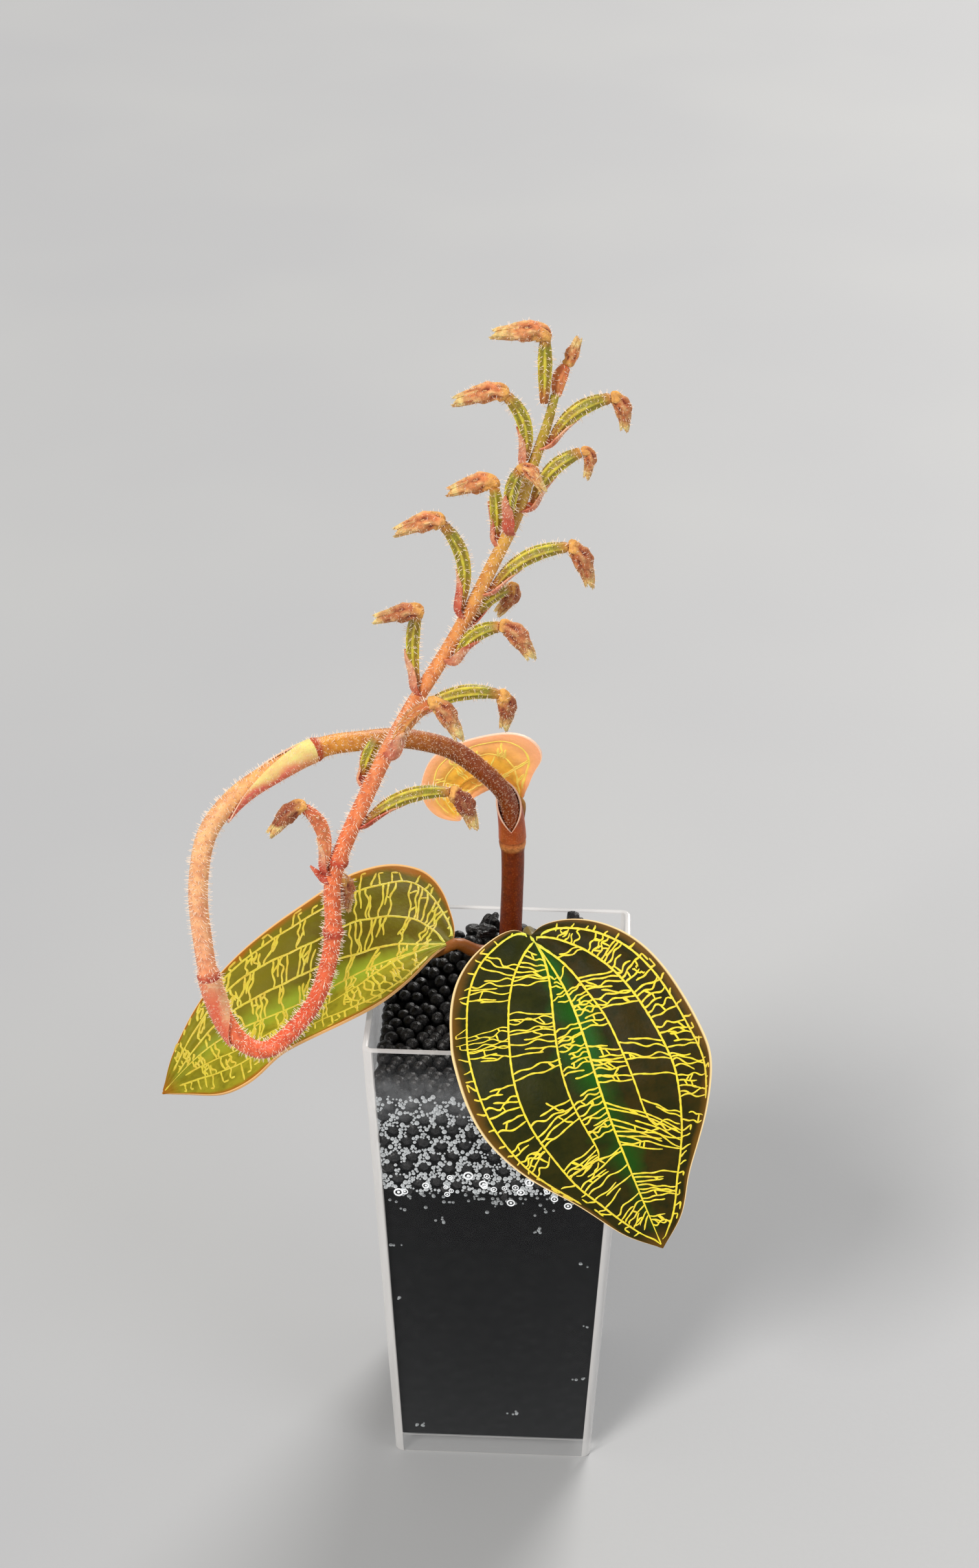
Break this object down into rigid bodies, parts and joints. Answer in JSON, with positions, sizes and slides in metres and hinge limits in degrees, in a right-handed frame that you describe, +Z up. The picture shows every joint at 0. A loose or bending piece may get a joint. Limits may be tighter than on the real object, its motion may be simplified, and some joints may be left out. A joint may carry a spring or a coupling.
{
  "type": "potted jewel orchid",
  "caption": "Jewel orchid with gold-veined leaves and a looping, spent flower spike in a tall square clear cup of black pellets.",
  "frame": {"origin": "Middle of the cup's flat underside, on the surface that it stands on.", "axes": "+Z up along the cup and the plant, X and Y square to the cup's sides, with the picture's front on -Y."},
  "size_m": [0.1179, 0.075, 0.2791],
  "materials": {
    "clear_plastic": "gloss",
    "black_pellets": "matte",
    "stem_brown": "satin",
    "spike_coral": "satin",
    "leaf_left_blade": "satin",
    "leaf_right_blade": "satin",
    "leaf_back_blade": "satin",
    "capsule_olive": "satin",
    "withered_flower": "matte"
  },
  "bodies": {
    "root": {"pot": "clear_plastic", "substrate": "black_pellets", "stem": "stem_brown", "flower_spike": "spike_coral", "leaf_left": "leaf_left_blade", "leaf_right": "leaf_right_blade", "leaf_back": "leaf_back_blade", "capsule_01": "capsule_olive", "capsule_02": "capsule_olive", "capsule_03": "capsule_olive", "capsule_04": "capsule_olive", "capsule_05": "capsule_olive", "capsule_06": "capsule_olive", "capsule_07": "capsule_olive", "capsule_08": "capsule_olive", "capsule_09": "capsule_olive", "capsule_10": "capsule_olive", "capsule_11": "capsule_olive", "capsule_12": "capsule_olive", "capsule_13": "capsule_olive", "capsule_14": "capsule_olive", "capsule_15": "capsule_olive", "capsule_16": "capsule_olive", "capsule_17": "capsule_olive", "bloom_01": "withered_flower", "bloom_02": "withered_flower", "bloom_03": "withered_flower", "bloom_04": "withered_flower", "bloom_05": "withered_flower", "bloom_06": "withered_flower", "bloom_07": "withered_flower", "bloom_08": "withered_flower", "bloom_09": "withered_flower", "bloom_10": "withered_flower", "bloom_11": "withered_flower", "bloom_12": "withered_flower", "bloom_13": "withered_flower", "bloom_14": "withered_flower", "bloom_16": "withered_flower", "bloom_17": "withered_flower", "bloom_19": "withered_flower"}
  },
  "joints": []
}
